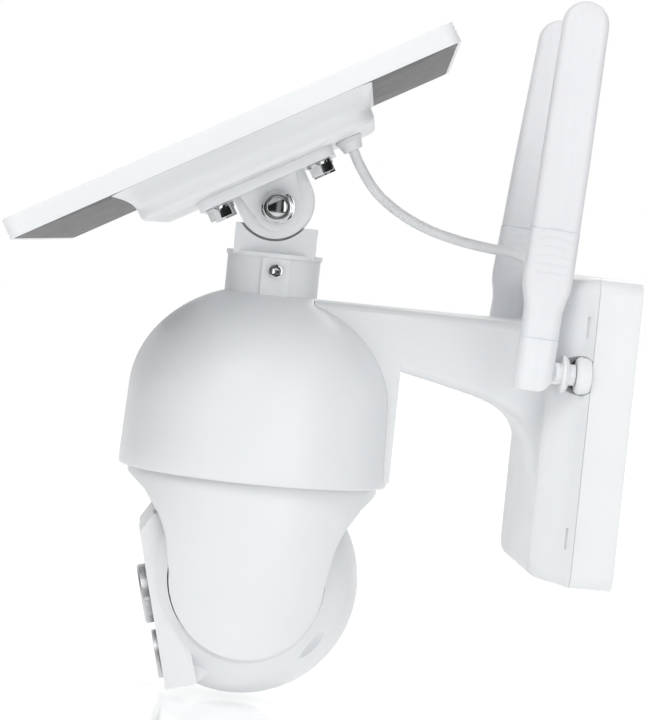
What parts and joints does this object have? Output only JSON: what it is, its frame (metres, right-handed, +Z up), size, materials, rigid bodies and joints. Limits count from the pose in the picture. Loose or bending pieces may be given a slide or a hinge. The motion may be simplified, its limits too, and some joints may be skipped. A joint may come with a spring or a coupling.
{
  "type": "solar-powered security camera",
  "caption": "Wall-mounted pan and tilt camera on an arm, with a tilting solar panel on a post above the hood, folding paddle antennas and a solar lead.",
  "frame": {"origin": "centre of the wall housing's back face, on the wall", "axes": "+Y into the wall, -Y out along the arm to the camera, +Z up, +X along the camera's tilt axis"},
  "size_m": [0.2681, 0.2681, 0.3115],
  "materials": {
    "white_plastic": "satin",
    "inner_plastic": "matte",
    "stainless": "polished",
    "rubber": "matte",
    "black_plastic": "gloss",
    "circuit_board": "satin",
    "battery": "satin",
    "motor_steel": "satin",
    "glass": "gloss",
    "silicon": "gloss",
    "backsheet": "matte",
    "sensor_window": "satin",
    "cable_sheath": "satin"
  },
  "bodies": {
    "wall_unit": {"rear_housing": "white_plastic", "front_cover": "white_plastic", "cover_seal": "rubber", "arm": "white_plastic", "dome_hood": "white_plastic", "collar_set_screw": "stainless", "housing_screws": "stainless", "battery_cells": "battery", "battery_holder": "black_plastic", "charge_board": "circuit_board", "radio_board": "circuit_board", "antenna_sockets": "white_plastic", "lead_gland": "white_plastic", "pan_carrier": "inner_plastic", "pan_motor": "motor_steel", "carrier_screws": "stainless", "solar_lead": "cable_sheath"},
    "post": {"panel_post": "white_plastic"},
    "solar_panel": {"tilt_bracket": "white_plastic", "pivot_bolt": "stainless", "pivot_washers": "stainless", "pivot_nut": "stainless", "bracket_bolts": "stainless", "panel_tray": "white_plastic", "panel_frame": "white_plastic", "panel_backsheet": "backsheet", "solar_cells": "silicon", "panel_glass": "glass", "lead_grommet": "white_plastic"},
    "pan_head": {"yoke": "white_plastic", "pan_hub": "inner_plastic", "pan_shaft": "stainless", "ear_plates": "inner_plastic", "tilt_motor": "motor_steel"},
    "camera_ball": {"ball_shell": "white_plastic", "face_plate": "black_plastic", "lens_ring": "white_plastic", "lens_barrel": "black_plastic", "lens_glass": "glass", "pir_ring": "black_plastic", "pir_window": "sensor_window", "ir_leds": "black_plastic", "camera_board": "circuit_board", "card_cover": "inner_plastic", "tilt_shafts": "stainless"},
    "right_antenna_base": {"right_knuckle": "white_plastic"},
    "right_antenna": {"right_fold_pin": "stainless", "right_sleeve": "white_plastic", "right_lower_shell": "white_plastic", "right_paddle": "white_plastic"},
    "left_antenna_base": {"left_knuckle": "white_plastic"},
    "left_antenna": {"left_fold_pin": "stainless", "left_sleeve": "white_plastic", "left_lower_shell": "white_plastic", "left_paddle": "white_plastic"}
  },
  "joints": [
    {"name": "panel_turn", "type": "hinge", "parent": "wall_unit", "child": "post", "pos_m": [0, -0.1525, 0.06], "axis": [0, 0, 1], "range_deg": [-5, 10]},
    {"name": "panel_tilt", "type": "hinge", "parent": "post", "child": "solar_panel", "pos_m": [0, -0.1525, 0.082], "axis": [0.9963, -0.0854, 0], "range_deg": [-8, 15], "deforming": ["solar_lead"]},
    {"name": "camera_pan", "type": "hinge", "parent": "wall_unit", "child": "pan_head", "pos_m": [0, -0.1525, -0.03], "axis": [0, 0, 1], "range_deg": [-177.5, 177.5]},
    {"name": "camera_tilt", "type": "hinge", "parent": "pan_head", "child": "camera_ball", "pos_m": [0, -0.1525, -0.077], "axis": [1, 0, 0], "range_deg": [-25, 60]},
    {"name": "right_antenna_swivel", "type": "hinge", "parent": "wall_unit", "child": "right_antenna_base", "pos_m": [0.06, -0.03, 0.0242], "axis": [0, 1, 0], "range_deg": [0, 110]},
    {"name": "right_antenna_fold", "type": "hinge", "parent": "right_antenna_base", "child": "right_antenna", "pos_m": [0.06, -0.042, 0.0242], "axis": [1, 0, 0], "range_deg": [0, 8]},
    {"name": "left_antenna_swivel", "type": "hinge", "parent": "wall_unit", "child": "left_antenna_base", "pos_m": [-0.06, -0.03, 0.0242], "axis": [0, -1, 0], "range_deg": [0, 110]},
    {"name": "left_antenna_fold", "type": "hinge", "parent": "left_antenna_base", "child": "left_antenna", "pos_m": [-0.06, -0.042, 0.0242], "axis": [1, 0, 0], "range_deg": [0, 8]}
  ]
}
